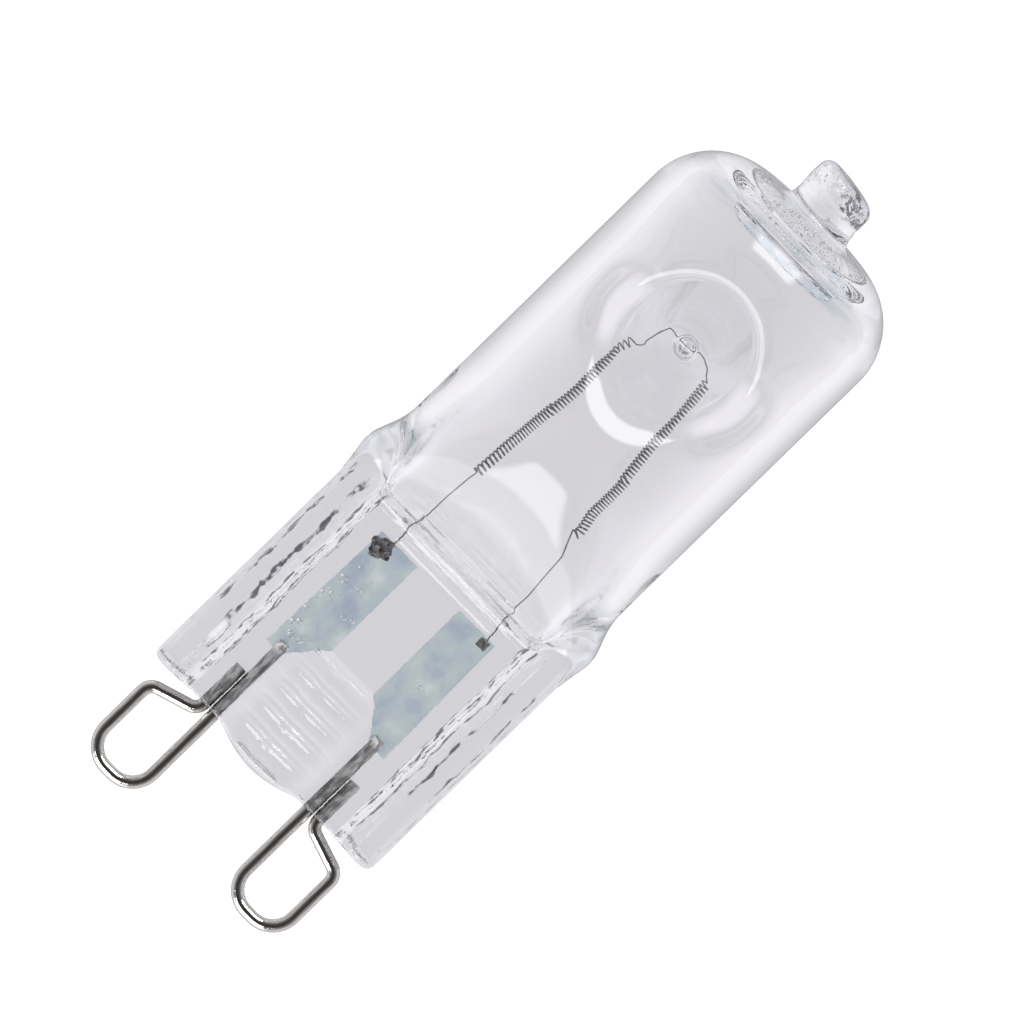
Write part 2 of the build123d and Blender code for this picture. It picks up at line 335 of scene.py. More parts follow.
# Floor
FLOOR_HEIGHT = -5.66
FLOOR_REACH = 2000.0
FLOOR_COLOUR = (0.9, 0.9, 0.9)
FLOOR_ROUGHNESS = 0.9
FLOOR_GLOW = 0.85
FLOOR_STRENGTH = 1.12

# Brightness of the studio from the camera's side to the far side: in reflections, then through the glass
STUDIO_TONES = ((0.0, 0.05), (0.12, 0.2), (0.3, 0.6), (0.5, 1.0), (0.75, 0.9), (0.93, 0.5), (1.0, 0.3))
GLASS_TONES = (
    (0.0, 0.85), (0.03, 0.9), (0.08, 0.95), (0.3, 0.95),
    (0.9, 0.95), (0.955, 0.88), (0.985, 0.74), (1.0, 0.68),
)
STUDIO_TINT = (0.985, 0.972, 1.0)
END_SHADE = 0.3
END_SHADE_FROM = 0.25
END_SHADE_TO = 0.75

# Rectangular lights seen in reflections: direction, half width and half height as slopes, strength
STUDIO_WINDOWS = (
    ((0.0, -0.66, -0.75), 0.26, 0.3, 7.0),
    ((0.0, -0.2, -0.98), 0.5, 0.22, 2.5),
    ((0.0, -0.59, 0.8), 0.34, 0.24, 10.0),
)
WINDOW_SOFT = 0.06
WINDOW_NEAREST = 0.01

# Soft lamps: name, place and power
SOFTBOXES = (("left_softbox", (-160, -60, 220), 0.5), ("right_softbox", (170, 40, 160), 0.3))
SOFTBOX_SIZE = 160
SOFTBOX_AIM = (0, 0, 15)


def ease(share):
    """Smooth step from 0 to 1."""
    held = np.clip(share, 0.0, 1.0)
    return held * held * (3 - 2 * held)


def blend_min(first, second, width):
    """Union of two fields with a rounded crease."""
    mix = np.clip(0.5 + 0.5 * (second - first) / width, 0.0, 1.0)
    return second * (1 - mix) + first * mix - width * mix * (1 - mix)


def blend_max(first, second, width):
    """Intersection of two fields with a rounded edge."""
    return -blend_min(-first, -second, width)


def rounded_box(x, y, z, centre, half, radius):
    """Distance to a box with rounded edges."""
    qx = np.abs(x - centre[0]) - half[0] + radius
    qy = np.abs(y - centre[1]) - half[1] + radius
    qz = np.abs(z - centre[2]) - half[2] + radius
    outside = np.sqrt(np.maximum(qx, 0) ** 2 + np.maximum(qy, 0) ** 2 + np.maximum(qz, 0) ** 2)
    return outside + np.minimum(np.maximum(qx, np.maximum(qy, qz)), 0) - radius


def round_bar(x, y, z, radius, low, high, corner):
    """Distance to an upright cylinder with rounded ends."""
    qr = np.hypot(x, y) - radius + corner
    qz = np.abs(z - (low + high) / 2) - (high - low) / 2 + corner
    outside = np.hypot(np.maximum(qr, 0), np.maximum(qz, 0))
    return outside + np.minimum(np.maximum(qr, qz), 0) - corner


def squared_column(x, y, half_width, half_depth, power):
    """Rough distance to a column whose section is a squared-up ellipse."""
    ratio = (np.abs(x) / half_width) ** power + (np.abs(y) / half_depth) ** power
    reach = np.maximum(ratio, LEAST_RATIO) ** (1 / power)
    return (reach - 1) * np.hypot(x, y) / np.maximum(reach, NEVER_ZERO)


def shoulder_field(x, y, z):
    """Outside of the shoulder and the tube above it."""
    share = np.clip((z - SHOULDER_FOOT) / (SHOULDER_TOP - SHOULDER_FOOT), 0.0, 1.0)
    rise = np.clip(share / EAR_REACH, 0.0, 1.0)
    spread = (SEAL_HALF_WIDTH - SHOULDER_TUCK - TUBE_RADIUS) * (1 - ease(rise))
    ear = EAR_SWELL * np.exp(-(((z - EAR_HEIGHT) / EAR_SPAN) ** 2))
    depth = WEB_HALF_DEPTH + (TUBE_RADIUS - WEB_HALF_DEPTH) * np.sin(np.pi / 2 * share)
    power = 2 + SHOULDER_SQUARENESS * (1 - share) ** 2
    column = squared_column(x, y, TUBE_RADIUS + spread + ear, depth, power)
    return np.maximum(column, SHOULDER_FOOT - z)


def cavity_field(x, y, z):
    """Hollow of the lamp without the dents."""
    share = np.clip((z - CAVITY_FLOOR) / (SHOULDER_TOP - CAVITY_FLOOR), 0.0, 1.0)
    swell = np.sin(np.pi / 2 * share)
    width = BORE_RADIUS - (BORE_RADIUS - CAVITY_HALF_WIDTH) * (1 - swell) ** 3
    depth = CAVITY_HALF_DEPTH + (BORE_RADIUS - CAVITY_HALF_DEPTH) * swell
    column = squared_column(x, y, width, depth, 2 + CAVITY_SQUARENESS * (1 - share) ** 2)
    floored = blend_max(column, CAVITY_FLOOR - z, CAVITY_ROUND)
    top = round_bar(x, y, z, BORE_RADIUS, 0.0, DOME_INNER_TOP, DOME_INNER_CORNER)
    plug = round_bar(x, y, z, PLUG_RADIUS, DOME_INNER_TOP - PLUG_DROP, DOME_TOP, PLUG_CORNER)
    return blend_max(np.maximum(floored, top), -plug, PLUG_BLEND)


def dent_field(x, y, z):
    """Cones pressed in from the front and the back."""
    slope = (DENT_MOUTH - DENT_TIP) / (TUBE_RADIUS - DENT_HALF_GAP)
    depth = np.abs(y) - DENT_HALF_GAP
    flank = (np.hypot(x, z - DENT_HEIGHT) - DENT_TIP - slope * depth) / math.hypot(1, slope)
    return blend_max(flank, -depth, DENT_NOSE)


def wander(along, rate, shift):
    """Uneven wave along a length, between about -1 and 1."""
    waves = sum(strength * np.sin(times * rate * along + turns * shift) for times, turns, strength in WAVES)
    return waves / sum(strength for _, _, strength in WAVES)


def rail_field(x, y, z):
    """Rails along both edges, whose inner walls slope and waver as pressed glass does."""
    shift = np.where(x < 0, RAIL_LEFT_SHIFT, RAIL_RIGHT_SHIFT) + np.where(y < 0, 0.0, RAIL_BACK_SHIFT)
    waver = RAIL_WANDER * wander(z, RAIL_WAVES, shift)
    foot = RAIL_FOOT + RAIL_SLOPE * (np.abs(y) - WEB_HALF_DEPTH)
    inner = (foot - np.abs(x) + waver) / math.hypot(1, RAIL_SLOPE)
    body = blend_max(np.abs(x) - SEAL_HALF_WIDTH, np.abs(y) - SEAL_HALF_DEPTH, RAIL_ROUND)
    ends = np.maximum(z - SEAL_TOP, -z)
    return blend_max(blend_max(body, inner, RAIL_INNER_ROUND), ends, RAIL_END_ROUND)


def tongue_field(x, y, z):
    """Tongue between the pins, with soft ribs across it and a rounded lower end."""
    across = x - TONGUE_SHIFT
    waver = RIB_WAVER * wander(across, *RIB_WAVES)
    wave = 0.5 + 0.5 * np.cos(2 * np.pi * (z - RIB_START) / RIB_PITCH + waver)
    rib = RIB_DEPTH * wave**RIB_SHARPNESS * (1 - np.clip(across / TONGUE_HALF_WIDTH, -1.0, 1.0) ** 2)
    fade = 1 - TONGUE_FADE * ease((z - TONGUE_FADE_START) / TONGUE_FADE_LENGTH)
    rise = WEB_HALF_DEPTH + TONGUE_RISE * fade + rib
    drop = TONGUE_DROP * (1 - (across / TONGUE_HALF_WIDTH) ** 2)
    sides = blend_max(np.abs(across) - TONGUE_HALF_WIDTH, np.abs(y) - rise, TONGUE_ROUND)
    upper = blend_max(sides, z - TONGUE_TOP, TONGUE_TOP_ROUND)
    return np.maximum(upper, blend_max(sides, -z - drop, TONGUE_DROP_ROUND))


def seal_field(x, y, z):
    """Press seal: web, rails and the ribbed tongue."""
    middle = SEAL_TOP / 2
    half = (SEAL_HALF_WIDTH - WEB_INSET, WEB_HALF_DEPTH, middle)
    web = rounded_box(x, y, z, (0, 0, middle), half, WEB_ROUND)
    body = blend_min(web, rail_field(x, y, z), RAIL_BLEND)
    return blend_min(body, tongue_field(x, y, z), TONGUE_BLEND)


def tip_field(x, y, z):
    """Sealed-off tip, whose end slants and bulges a little."""
    top = TIP_TOP - TIP_SLANT * (x / TIP_RADIUS + 1) / 2
    bulge = TIP_BULGE * wander(z, TIP_WAVES, TIP_WAVE_SHIFT + np.arctan2(y, x))
    sides = np.hypot(x, y) - TIP_RADIUS - bulge
    return blend_max(sides, z - top, TIP_ROUND)


def glass_field(x, y, z):
    """Glass of the lamp: below zero inside."""
    tube = round_bar(x, y, z, TUBE_RADIUS, SHOULDER_FOOT, DOME_TOP, DOME_CORNER)
    upper = np.where(z < SHOULDER_TOP, shoulder_field(x, y, z), tube)
    dents = dent_field(x, y, z)
    away = np.hypot(x, z - DENT_HEIGHT)
    low_side = 0.5 - 0.5 * (z - DENT_HEIGHT) / np.maximum(away, DENT_MIDDLE)
    lip = DENT_LIP_TOP + (DENT_LIP_BOTTOM - DENT_LIP_TOP) * low_side
    shell = blend_max(upper, -dents, lip)
    tip = np.maximum(tip_field(x, y, z), DOME_TOP - TIP_ROOT - z)
    outer = blend_min(blend_min(shell, tip, TIP_BLEND), seal_field(x, y, z), SEAL_BLEND)
    middle = 1 - ease((np.abs(x) - THIN_HALF_WIDTH) / THIN_SIDE_FADE)
    height = ease((z - THIN_LOW) / THIN_LOW_FADE) * (1 - ease((z - THIN_HIGH) / THIN_HIGH_FADE))
    thinner = FRONT_THINNING * middle * height
    beside = ease((low_side - RIM_START) / RIM_START_FADE) * ease((RIM_END - low_side) / RIM_END_FADE)
    rim = RIM_SWELL * beside * np.exp(-(((away - RIM_RADIUS) / RIM_WIDTH) ** 2))
    hollow = blend_max(cavity_field(x, y, z) - thinner, DENT_WALL - dents, INNER_LIP_SHARE * lip) + rim
    fused = np.where(np.abs(y) < FUSED_REACH, FUSED_RADIUS - away, FAR_INSIDE)
    return np.maximum(outer, -blend_max(hollow, fused, FUSED_BLEND))


def gradient(field, points):
    """Slope of a field at points."""
    slopes = np.empty_like(points)
    for axis in range(3):
        shift = np.zeros(3)
        shift[axis] = SLOPE_STEP
        ahead = field(*(points + shift).T)
        behind = field(*(points - shift).T)
        slopes[:, axis] = (ahead - behind) / (2 * SLOPE_STEP)
    return slopes


def surface_net(field, low, high, cell):
    """Vertices and quads of a field's zero surface on a regular grid."""
    counts = [int(math.ceil((b - a) / c)) + 1 for a, b, c in zip(low, high, cell)]
    lines = [a + c * np.arange(n) for a, c, n in zip(low, cell, counts)]
    values = np.empty(counts)
    for index, x in enumerate(lines[0]):
        y, z = np.meshgrid(lines[1], lines[2], indexing="ij")
        values[index] = field(np.full_like(y, x), y, z)
    inside = values < 0
    corners = [(i, j, k) for i in (0, 1) for j in (0, 1) for k in (0, 1)]
    shape = [n - 1 for n in counts]

    def corner_view(grid, corner):
        return grid[tuple(slice(c, c + n) for c, n in zip(corner, shape))]

    tally = sum(corner_view(inside, corner).astype(np.int8) for corner in corners)
    mixed = (tally > 0) & (tally < 8)
    number = np.full(shape, -1, dtype=np.int64)
    number[mixed] = np.arange(mixed.sum())
    total = np.zeros((mixed.sum(), 3))
    weight = np.zeros(mixed.sum())
    for first in corners:
        for axis in range(3):
            if first[axis]:
                continue
            second = tuple(1 if a == axis else c for a, c in enumerate(first))
            start = corner_view(values, first)[mixed]
            stop = corner_view(values, second)[mixed]
            crossed = (start < 0) != (stop < 0)
            share = np.where(crossed, start / np.where(crossed, start - stop, 1.0), 0.0)
            spot = np.tile(np.array(first, dtype=float), (len(share), 1))
            spot[:, axis] = share
            total += spot * crossed[:, None]
            weight += crossed
    points = total / weight[:, None] + np.argwhere(mixed)
    points = points * np.array(cell) + np.array(low)

    quads = []
    for axis in range(3):
        side, other = [a for a in range(3) if a != axis]
        near = [slice(1, n - 1) for n in counts]
        near[axis] = slice(0, counts[axis] - 1)
        far = list(near)
        far[axis] = slice(1, counts[axis])
        start = inside[tuple(near)]
        stop = inside[tuple(far)]
        base = np.argwhere(start != stop) + np.array([s.start for s in near])
        flip = start[start != stop]
        if axis == 1:
            flip = ~flip
        ring = []
        for back_side, back_other in ((1, 1), (0, 1), (0, 0), (1, 0)):
            spot = base.copy()
            spot[:, side] -= back_side
            spot[:, other] -= back_other
            ring.append(number[tuple(spot.T)])
        ring = np.stack(ring, axis=1)
        ring[~flip] = ring[~flip][:, ::-1]
        quads.append(ring)
    return points, np.concatenate(quads)


def ring_faces(rings, sides):
    """Quads between neighbouring rings of points, and a cap at each end."""
    faces = []
    for ring in range(rings - 1):
        for step in range(sides):
            after = (step + 1) % sides
            low = ring * sides
            high = low + sides
            faces.append((low + step, low + after, high + after, high + step))
    faces.append(tuple(reversed(range(sides))))
    faces.append(tuple((rings - 1) * sides + step for step in range(sides)))
    return faces


def bubble_shell(centre, half):
    """Points, normals and faces of an egg-shaped bubble, facing into its air."""
    points = []
    for level in range(BUBBLE_LEVELS):
        height = math.pi * (level + 0.5) / BUBBLE_LEVELS
        for step in range(BUBBLE_TURNS):
            angle = 2 * math.pi * step / BUBBLE_TURNS
            across = math.sin(height)
            points.append((across * math.cos(angle), across * math.sin(angle), math.cos(height)))
    unit = np.array(points)
    slope = unit / np.array(half)
    normals = -slope / np.linalg.norm(slope, axis=1)[:, None]
    return np.array(centre) + unit * np.array(half), normals, ring_faces(BUBBLE_LEVELS, BUBBLE_TURNS)


def foil_bubbles():
    """Small bubbles over the left foil, one over the right one, and a long one in the left rail."""
    pick = np.random.default_rng(BUBBLE_SEED)
    bubbles = [RAIL_BUBBLE, RIGHT_BUBBLE]
    for _ in range(BUBBLE_COUNT):
        across = pick.uniform(*BUBBLE_ACROSS)
        depth = pick.uniform(*BUBBLE_DEPTH)
        height = BUBBLE_LOW + BUBBLE_RISE * pick.random()
        size = pick.uniform(*BUBBLE_SIZE)
        bubbles.append(((across, depth, height), (size * pick.uniform(*BUBBLE_STRETCH), size, size)))
    return bubbles


def mesh_object(name, points, faces, smooth=False, normals=None):
    """Object in the scene from points in millimetres and faces."""
    mesh = bpy.data.meshes.new(name)
    mesh.from_pydata((np.array(points) * MM).tolist(), [], faces)
    if smooth:
        mesh.polygons.foreach_set("use_smooth", np.ones(len(mesh.polygons), dtype=bool))
    if normals is not None:
        mesh.normals_split_custom_set_from_vertices(normals.tolist())
    mesh.update()
    piece = bpy.data.objects.new(name, mesh)
    bpy.context.scene.collection.objects.link(piece)
    return piece


def field_object(name, field, low, high, cell, bubbles):
    """Smooth mesh object of a field, with its normals from the field's slope, and bubbles in it."""
    points, quads = surface_net(field, low, high, cell)
    for _ in range(SETTLE_ROUNDS):
        slope = gradient(field, points)
        size = np.maximum((slope**2).sum(axis=1), SLOPE_FLOOR)
        step = field(*points.T) / size
        points -= slope * np.clip(step, -SETTLE_LIMIT, SETTLE_LIMIT)[:, None]
    slope = gradient(field, points)
    normals = slope / np.maximum(np.linalg.norm(slope, axis=1), NEVER_ZERO)[:, None]
    faces = quads.tolist()
    for centre, half in bubbles:
        shell, inward, rings = bubble_shell(centre, half)
        faces += [tuple(index + len(points) for index in ring) for ring in rings]
        points = np.concatenate([points, shell])
        normals = np.concatenate([normals, inward])
    return mesh_object(name, points, faces, True, normals)


def crumpled_plate(name, centre, half, turn, crumple):
    """Small thin plate, turned in its plane and crumpled."""
    across, up = np.meshgrid(np.linspace(-1, 1, TAB_CELLS + 1), np.linspace(-1, 1, TAB_CELLS + 1))
    ragged = 1 + TAB_RAGGED * wander(across * up * 3 + across, *TAB_EDGE_WAVES)
    x = half[0] * across * ragged
    z = half[2] * up * ragged
    fold = crumple * (wander(x * 4 + z, *TAB_FOLD_WAVES) + wander(z * 5 - x, *TAB_CROSS_WAVES))
    spot_x = centre[0] + x * math.cos(turn) - z * math.sin(turn)
    spot_z = centre[2] + x * math.sin(turn) + z * math.cos(turn)
    front = np.stack([spot_x, centre[1] - half[1] + fold, spot_z], axis=-1).reshape(-1, 3)
    back = np.stack([spot_x, centre[1] + half[1] + fold, spot_z], axis=-1).reshape(-1, 3)
    row = TAB_CELLS + 1
    size = row * row
    faces = []
    for j in range(TAB_CELLS):
        for i in range(TAB_CELLS):
            low = j * row + i
            faces.append((low, low + 1, low + row + 1, low + row))
            faces.append((size + low, size + low + row, size + low + row + 1, size + low + 1))
    rim = list(range(row)) + [j * row + row - 1 for j in range(1, row)]
    rim += [size - 1 - i for i in range(1, row)] + [(row - 1 - j) * row for j in range(1, row - 1)]
    for first, second in zip(rim, rim[1:] + rim[:1]):
        faces.append((second, first, size + first, size + second))
    return mesh_object(name, np.concatenate([front, back]), faces)


def tube_object(name, line, radius, sides):
    """Round wire along a line of points."""
    points = np.array(line)
    heading = np.gradient(points, axis=0)
    heading /= np.linalg.norm(heading, axis=1)[:, None]
    across = np.cross(heading[0], FILAMENT_SIDEWAYS)
    rings = []
    for point, ahead in zip(points, heading):
        across = across - ahead * across.dot(ahead)
        across /= np.linalg.norm(across)
        other = np.cross(ahead, across)
        for step in range(sides):
            angle = 2 * math.pi * step / sides
            rings.append(point + radius * (math.cos(angle) * across + math.sin(angle) * other))
    return mesh_object(name, rings, ring_faces(len(points), sides), True)


def lengths_along(line):
    """Length from the start of a polyline to each of its points."""
    return np.concatenate(([0.0], np.cumsum(np.linalg.norm(np.diff(line, axis=0), axis=1))))


def points_at(marks, scale, line):
    """Points of a polyline at marks on a scale that runs along it."""
    return np.stack([np.interp(marks, scale, line[:, axis]) for axis in range(3)], axis=1)


def spread_line(points, gap):
    """Points at even gaps along a polyline."""
    corners = np.array(points, dtype=float)
    lengths = lengths_along(corners)
    marks = np.linspace(0.0, lengths[-1], max(2, int(round(lengths[-1] / gap)) + 1))
    return points_at(marks, lengths, corners)


def smooth_line(points, rounds):
    """Polyline with its corners eased."""
    line = points.copy()
    for _ in range(rounds):
        line[1:-1] = 0.25 * line[:-2] + 0.5 * line[1:-1] + 0.25 * line[2:]
    return line


def coil_points(centre, open_pitch, open_length):
    """Helix about a line; its turns open out over the last stretch."""
    line = smooth_line(spread_line(centre, COIL_LINE_GAP), COIL_LINE_ROUNDS)
    ahead = np.gradient(line, axis=0)
    ahead /= np.linalg.norm(ahead, axis=1)[:, None]
    lengths = lengths_along(line)
    left = np.clip((lengths[-1] - lengths) / open_length, 0.0, 1.0)
    pitches = open_pitch + (COIL_PITCH - open_pitch) * ease(left)
    angles = np.concatenate(([0.0], np.cumsum(np.diff(lengths) / pitches[1:]))) * 2 * math.pi
    marks = np.linspace(0.0, angles[-1], int(angles[-1] / (2 * math.pi) * COIL_STEPS))
    spots = points_at(marks, angles, line)
    through = np.array((0.0, 1.0, 0.0))
    beside = np.cross(points_at(marks, angles, ahead), through)
    return spots + COIL_RADIUS * (np.cos(marks)[:, None] * beside + np.sin(marks)[:, None] * through)


def flat_points(*pairs):
    """Points in the lamp's middle plane from across and up."""
    return [(across, 0.0, height) for across, height in pairs]


def filament_line():
    """Whole wire: left leg and coil, the stretch held in the fused dents, right coil and leg."""
    left_leg = [(-3.03, 0.16, 10.5), (-2.83, 0.16, 10.88), (-2.77, 0.14, 11.63), (-2.87, 0.1, 12.4)]
    left_leg += flat_points((-2.7, 13.25), (-2.76, 14.5), (-2.73, 15.5), (-2.66, 15.9))
    left_centre = flat_points(
        (-2.66, 15.9), (-2.38, 18.25), (-2.13, 21.6), (-2.25, 23.7), (-2.36, 24.2), (-2.08, 24.93),
    )
    left_coil = coil_points(left_centre, LEFT_OPEN_PITCH, LEFT_OPEN_LENGTH)
    middle = flat_points(
        (-1.8, 24.94), (-1.57, 25.2), (-1.66, 25.4), (-1.53, 26.27), (-1.38, 26.75), (-1.06, 26.75),
        (-0.8, 26.65), (-0.4, 26.7), (0.5, 26.72), (0.73, 26.96), (1.19, 26.9), (1.58, 26.66), (1.83, 26.3),
    )
    right_centre = flat_points(
        (2.62, 16.8), (2.72, 17.0), (2.43, 18.0), (2.41, 20.1), (2.18, 22.6), (2.2, 24.2), (2.05, 26.1),
    )
    right_coil = coil_points(right_centre, RIGHT_OPEN_PITCH, RIGHT_OPEN_LENGTH)[::-1]
    right_leg = flat_points((2.7, 16.4), (3.0, 15.94), (3.09, 14.04))
    right_leg += [(2.99, 0.0, 13.2), (2.97, 0.1, 12.5), (3.13, 0.16, 11.3), (3.2, 0.16, 10.9)]
    joined_middle = spread_line([left_coil[-1], *middle, right_coil[0]], FILAMENT_GAP)
    joined_leg = spread_line([right_coil[-1], *right_leg], FILAMENT_GAP)
    runs = [
        smooth_line(spread_line(left_leg, FILAMENT_GAP), LEG_ROUNDS), left_coil,
        smooth_line(joined_middle, MIDDLE_ROUNDS)[1:-1], right_coil,
        smooth_line(joined_leg, LEG_ROUNDS)[1:],
    ]
    return np.concatenate(runs)


def maths_node(tree, operation, first, second=0.0):
    """Result of a maths node, whose inputs are sockets or numbers."""
    node = tree.nodes.new("ShaderNodeMath")
    node.operation = operation
    for socket, value in zip(node.inputs, (first, second)):
        if isinstance(value, (int, float)):
            socket.default_value = value
        else:
            tree.links.new(value, socket)
    return node.outputs[0]


def step_node(tree, value, low, high, start=0.0, stop=1.0):
    """Smooth step of a value from start at low to stop at high."""
    node = tree.nodes.new("ShaderNodeMapRange")
    node.interpolation_type = "SMOOTHSTEP"
    node.inputs["From Min"].default_value = low
    node.inputs["From Max"].default_value = high
    node.inputs["To Min"].default_value = start
    node.inputs["To Max"].default_value = stop
    tree.links.new(value, node.inputs["Value"])
    return node.outputs[0]


def ramp_node(tree, value, stops):
    """Colour ramp over a value."""
    ramp = tree.nodes.new("ShaderNodeValToRGB")
    while len(ramp.color_ramp.elements) < len(stops):
        ramp.color_ramp.elements.new(0.5)
    for element, (place, colour) in zip(ramp.color_ramp.elements, stops):
        element.position = place
        element.color = (*colour, 1.0)
    tree.links.new(value, ramp.inputs["Fac"])
    return ramp.outputs["Color"]


def plain_material(name, colour, metallic=0.0, roughness=0.5, transmission=0.0):
    """Principled material with constant values."""
    material = bpy.data.materials.new(name)
    material.use_nodes = True
    shader = material.node_tree.nodes["Principled BSDF"]
    shader.inputs["Base Color"].default_value = (*colour, 1.0)
    shader.inputs["Metallic"].default_value = metallic
    shader.inputs["Roughness"].default_value = roughness
    shader.inputs["Transmission Weight"].default_value = transmission
    shader.inputs["IOR"].default_value = GLASS_IOR
    return material


class Pattern:
    """Node helper for a material: values and masks from the part's own millimetres."""

    def __init__(self, material):
        self.tree = material.node_tree
        self.shader = self.tree.nodes["Principled BSDF"]
        coordinates = self.tree.nodes.new("ShaderNodeTexCoord")
        self.place = self.tree.nodes.new("ShaderNodeVectorMath")
        self.place.operation = "SCALE"
        self.place.inputs["Scale"].default_value = 1 / MM
        self.tree.links.new(coordinates.outputs["Object"], self.place.inputs[0])
        split = self.tree.nodes.new("ShaderNodeSeparateXYZ")
        self.tree.links.new(self.place.outputs[0], split.inputs[0])
        self.x = self.maths("ABSOLUTE", split.outputs["X"])
        self.side = split.outputs["X"]
        self.y = split.outputs["Y"]
        self.z = split.outputs["Z"]

    def maths(self, operation, first, second=0.0):
        """Result of a maths node, whose inputs are sockets or numbers."""
        return maths_node(self.tree, operation, first, second)

    def step(self, value, low, high):
        """Smooth step of a value from 0 at low to 1 at high."""
        return step_node(self.tree, value, low, high)

    def band(self, value, low, high, soft):
        """Mask that is 1 between low and high and fades over soft."""
        return self.product(self.step(value, low - soft, low), self.step(value, high + soft, high))

    def noise(self, rates, detail=2.0, shift=0.0):
        """Noise with so many features per millimetre along each axis."""
        stretch = self.tree.nodes.new("ShaderNodeMapping")
        stretch.inputs["Scale"].default_value = rates
        stretch.inputs["Location"].default_value = (shift, shift, shift)
        self.tree.links.new(self.place.outputs[0], stretch.inputs["Vector"])
        node = self.tree.nodes.new("ShaderNodeTexNoise")
        node.inputs["Scale"].default_value = 1.0
        node.inputs["Detail"].default_value = detail
        self.tree.links.new(stretch.outputs[0], node.inputs["Vector"])
        return node.outputs["Fac"]

    def noise_along(self, rate, detail, shift):
        """Noise along the lamp's axis only."""
        node = self.tree.nodes.new("ShaderNodeTexNoise")
        node.noise_dimensions = "1D"
        node.inputs["Scale"].default_value = 1.0
        node.inputs["Detail"].default_value = detail
        self.tree.links.new(self.total(self.product(self.z, rate), shift), node.inputs["W"])
        return node.outputs["Fac"]

    def product(self, *values):
        """Product of sockets and numbers."""
        result = values[0]
        for value in values[1:]:
            result = self.maths("MULTIPLY", result, value)
        return result

    def total(self, *values):
        """Sum of sockets and numbers."""
        result = values[0]
        for value in values[1:]:
            result = self.maths("ADD", result, value)
        return result

    def relief(self, height):
        """Bump from heights in millimetres."""
        bump = self.tree.nodes.new("ShaderNodeBump")
        bump.inputs["Distance"].default_value = MM
        self.tree.links.new(height, bump.inputs["Height"])
        self.paint("Normal", bump.outputs[0])

    def paint(self, socket, value):
        """Drive one of the shader's inputs."""
        self.tree.links.new(value, self.shader.inputs[socket])

    def paint_colours(self, value, stops):
        """Drive the base colour by a ramp over a value."""
        self.paint("Base Color", ramp_node(self.tree, value, stops))


def rail_shade_streaks(look):
    """Masks of broken, wavering dark lines up the rails: painted shade that stands in for dark refractions.
    """
    drift = look.product(look.total(look.noise_along(*DRIFT_GRAIN), -0.5), STREAK_DRIFT)
    grains = [look.noise_along(BREAK_RATE, BREAK_DETAIL, shift) for shift in STREAK_SHIFTS]
    breaks = [look.step(grain, *BREAK_CUT) for grain in grains]
    speckle = look.step(look.noise(*SPECKLE_GRAIN), *SPECKLE_CUT)
    masks = []
    for centre, width, low, high, pattern in RAIL_SHADE_STREAKS:
        away = look.maths("ABSOLUTE", look.total(look.side, -centre, drift))
        swell = look.product(breaks[pattern], width)
        line = look.step(look.maths("SUBTRACT", swell, away), *STREAK_EDGE)
        masks.append(look.product(line, look.band(look.z, low, high, STREAK_FADE)))
    return look.product(look.total(*masks), speckle, STREAK_SHADE)


def glass_relief(look, middle, lumps):
    """Heights of the pressed glass: rails, web, tip, plug, tube and the crease over the foils."""
    seal = look.step(look.z, *SEAL_EDGE)
    rail_area = look.product(look.band(look.x, *RAIL_BAND), seal)
    rails = look.product(rail_area, look.noise(*RAIL_GRAIN), RAIL_RELIEF)
    web_area = look.product(look.band(look.x, *WEB_BAND), seal)
    web = look.product(web_area, look.noise(*WEB_GRAIN), WEB_RELIEF)
    tip = look.product(look.step(look.z, *TIP_EDGE), lumps, TIP_RELIEF)
    plug_area = look.product(look.band(look.z, *PLUG_BAND), look.step(middle, *PLUG_EDGE))
    plug = look.product(plug_area, look.noise(*PLUG_GRAIN), PLUG_RELIEF)
    tube = look.product(look.step(look.z, *TUBE_EDGE), look.noise(*TUBE_GRAIN), TUBE_RELIEF)
    crease_area = look.product(look.band(look.z, *CREASE_BAND), look.band(look.x, *CREASE_ACROSS))
    crease = look.product(crease_area, look.noise(*CREASE_GRAIN), CREASE_RELIEF)
    return look.total(rails, web, tip, plug, tube, crease)


def glass_tints(look, middle, lumps):
    """Masks of the pale blue in the plug, the dome's rim, the fused dents and the ears."""
    plug_area = look.product(look.band(look.z, *PLUG_TINT_BAND), look.step(middle, *PLUG_TINT_EDGE))
    plug = look.product(plug_area, look.step(lumps, *PLUG_TINT_CUT), PLUG_TINT)
    rim_area = look.product(look.band(look.z, *RIM_TINT_BAND), look.step(middle, *RIM_TINT_EDGE))
    rim_cloud = look.step(look.noise(*RIM_GRAIN), *RIM_TINT_CUT)
    rim = look.product(rim_area, rim_cloud, RIM_TINT)
    fused_area = look.product(look.band(look.x, *FUSED_ACROSS), look.band(look.z, *FUSED_BAND))
    fused = look.product(fused_area, look.band(look.y, *FUSED_DEPTH), FUSED_TINT)
    ears = look.product(look.step(look.x, *EAR_EDGE), look.band(look.z, *EAR_BAND), EAR_TINT)
    return look.total(plug, rim, fused, ears)


